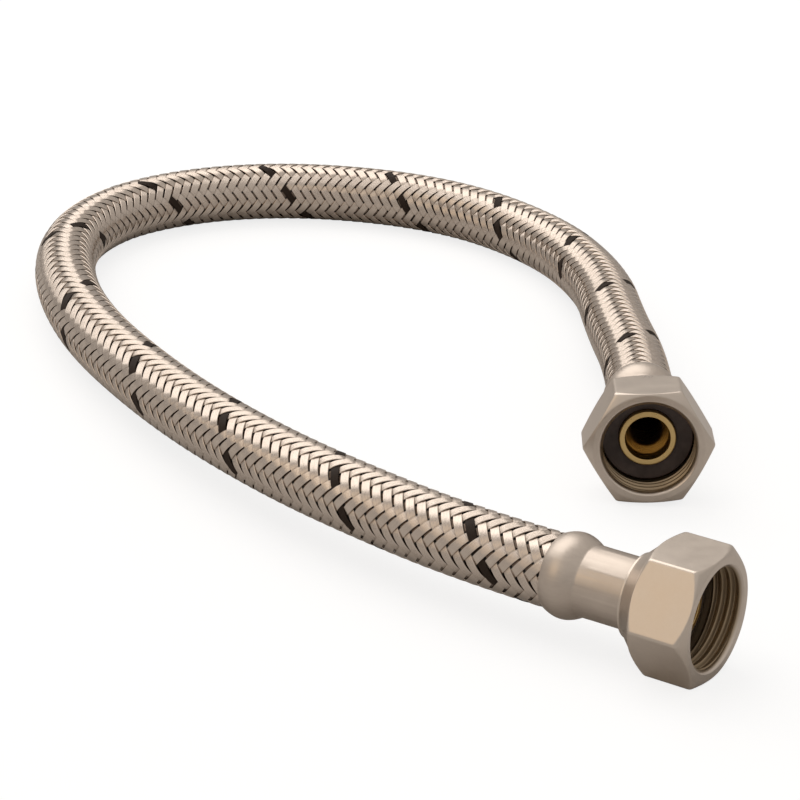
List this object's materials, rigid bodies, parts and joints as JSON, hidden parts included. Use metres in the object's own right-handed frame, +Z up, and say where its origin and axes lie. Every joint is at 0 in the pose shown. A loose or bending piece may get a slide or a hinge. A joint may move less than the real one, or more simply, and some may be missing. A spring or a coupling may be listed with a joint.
{
  "type": "braided supply line",
  "caption": "Flexible braided hose with a crimped ferrule and a loose hexagonal swivel nut at each end, lying in an open loop.",
  "frame": {"origin": "centre of the box round the whole line, on the table that it lies on", "axes": "+Z up from the table, +Y along the loop from the two fittings towards the bend, +X to the fittings' side"},
  "size_m": [0.1575, 0.2828, 0.0252],
  "materials": {
    "wire_braid": "bright drawn wire, woven",
    "hose_rubber": "smooth matt",
    "nut_plating": "satin nickel plating",
    "tail_brass": "turned, uncoated",
    "seal_rubber": "smooth matt",
    "ferrule_steel": "satin, crimped"
  },
  "bodies": {
    "hose_line": {"wire_braid": "wire_braid", "inner_hose": "hose_rubber", "hose_tail_near": "tail_brass", "seal_washer_near": "seal_rubber", "ferrule_near": "ferrule_steel", "hose_tail_far": "tail_brass", "seal_washer_far": "seal_rubber", "ferrule_far": "ferrule_steel"},
    "nut_near": {"swivel_nut_near": "nut_plating"},
    "nut_far": {"swivel_nut_far": "nut_plating"}
  },
  "joints": [
    {"name": "nut_near_spin", "type": "hinge", "parent": "hose_line", "child": "nut_near", "pos_m": [0.06006, -0.12268, 0.01229], "axis": [0.8387, -0.5446, 0], "continuous": true},
    {"name": "nut_far_spin", "type": "hinge", "parent": "hose_line", "child": "nut_far", "pos_m": [0.06492, -0.03781, 0.01235], "axis": [-0.0157, -0.9993, 0.0349], "continuous": true}
  ]
}
